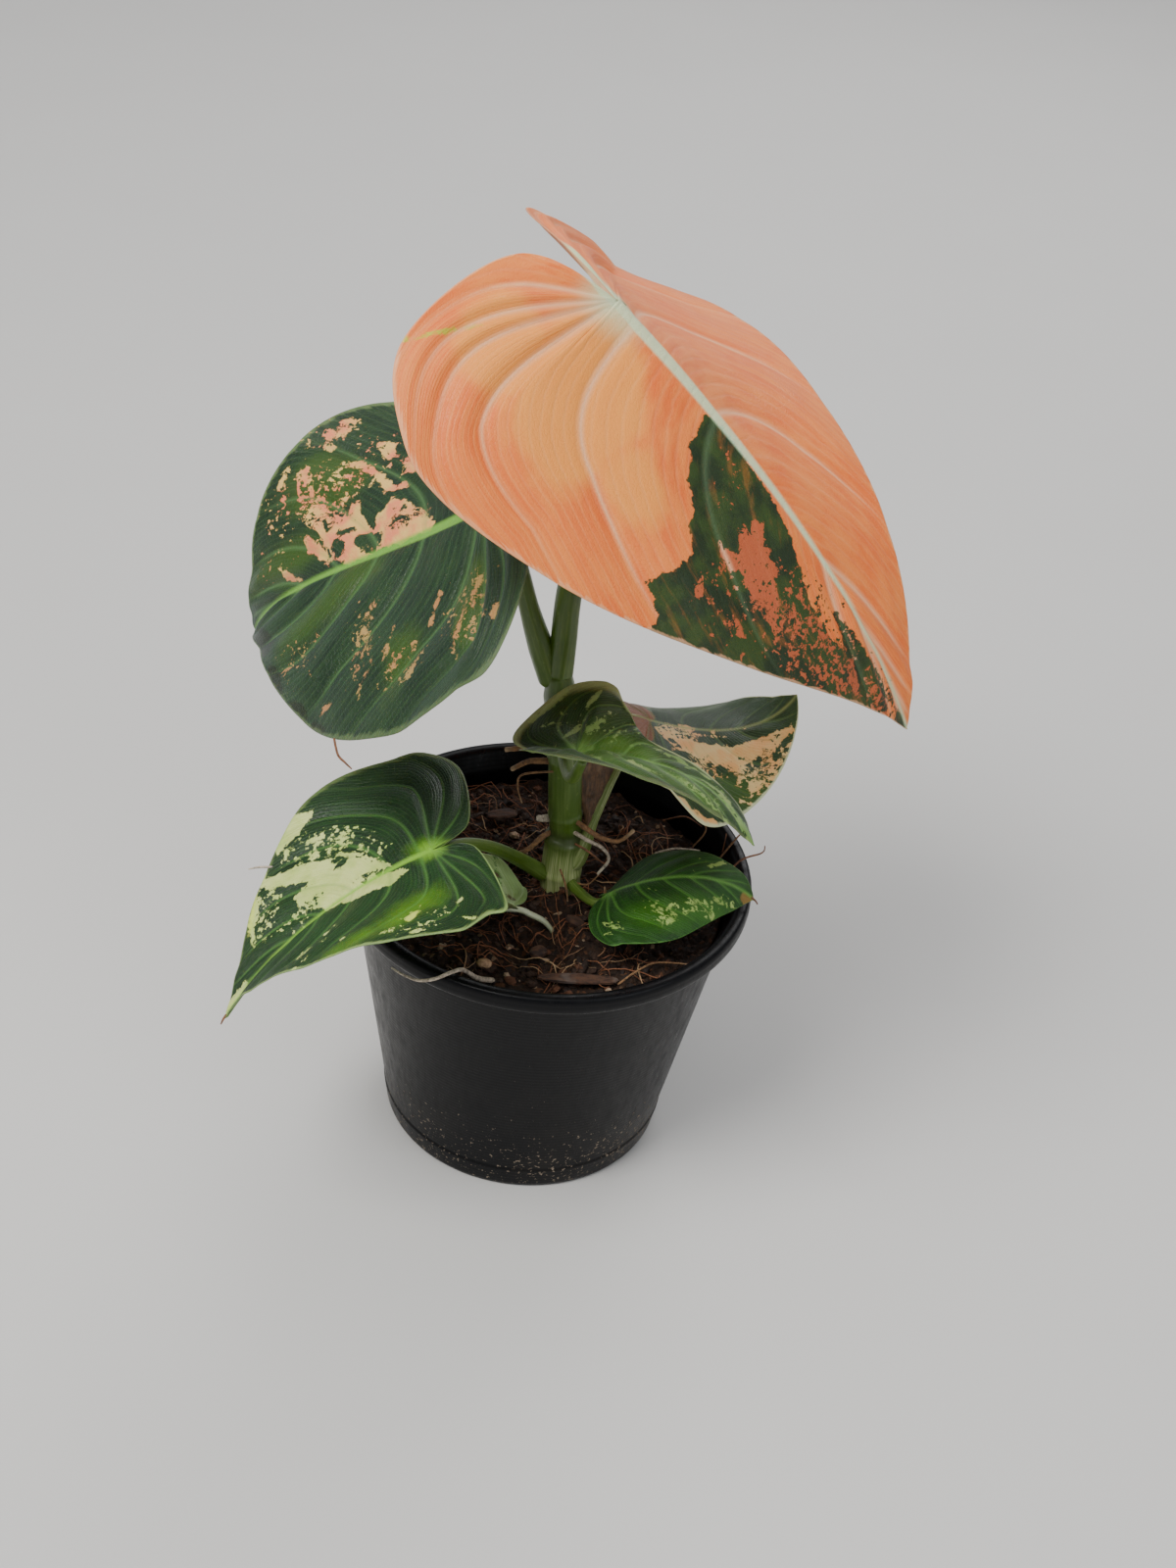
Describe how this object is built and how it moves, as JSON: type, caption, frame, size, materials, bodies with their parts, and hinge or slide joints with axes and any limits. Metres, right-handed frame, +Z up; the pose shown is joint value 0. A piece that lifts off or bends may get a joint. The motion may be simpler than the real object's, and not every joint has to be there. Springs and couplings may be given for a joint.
{
  "type": "potted variegated philodendron",
  "caption": "Young climbing philodendron with heart-shaped leaves, variegated orange, cream and dark green, on one upright stem in a round black nursery pot.",
  "frame": {"origin": "middle of the pot's flat base, on the ground it stands on", "axes": "+Z up along the pot's axis; the plant's front faces -Y, and +X is the right-hand side seen from the front"},
  "size_m": [0.171, 0.1344, 0.2534],
  "materials": {
    "pot_plastic": "satin",
    "potting_mix": "matte",
    "stem_skin": "satin",
    "stalk_skin": "satin",
    "stalk_pale": "satin",
    "leaf_orange": "satin",
    "leaf_dark_green": "satin",
    "leaf_cream_green": "satin",
    "leaf_mid_green": "satin",
    "leaf_peach_green": "satin",
    "leaf_pale": "satin",
    "sheath_papery": "matte",
    "aerial_root": "matte",
    "pale_strand": "matte",
    "bark_chip": "matte",
    "pebble_grit": "matte"
  },
  "bodies": {
    "root": {"nursery_pot": "pot_plastic", "potting_soil": "potting_mix", "main_stem": "stem_skin", "top_leaf_blade": "leaf_orange", "top_leaf_stalk": "stalk_skin", "left_leaf_blade": "leaf_dark_green", "left_leaf_stalk": "stalk_skin", "low_left_leaf_blade": "leaf_cream_green", "low_left_leaf_stalk": "stalk_skin", "twisted_leaf_blade": "leaf_mid_green", "twisted_leaf_stalk": "stalk_skin", "right_leaf_blade": "leaf_peach_green", "right_leaf_stalk": "stalk_skin", "low_right_leaf_blade": "leaf_mid_green", "low_right_leaf_stalk": "stalk_skin", "small_leaf_blade": "leaf_pale", "small_leaf_stalk": "stalk_pale", "dry_sheath": "sheath_papery", "root_upper_left": "aerial_root", "root_mid_left": "aerial_root", "root_stub": "aerial_root", "root_low_left": "aerial_root", "root_right": "aerial_root", "root_loop": "aerial_root", "rim_root_strand": "pale_strand", "bark_long": "bark_chip", "bark_grey": "bark_chip", "bark_near_stem": "bark_chip", "bark_right": "bark_chip", "bark_back": "bark_chip", "bark_back_right": "bark_chip", "pebble": "pebble_grit"}
  },
  "joints": []
}
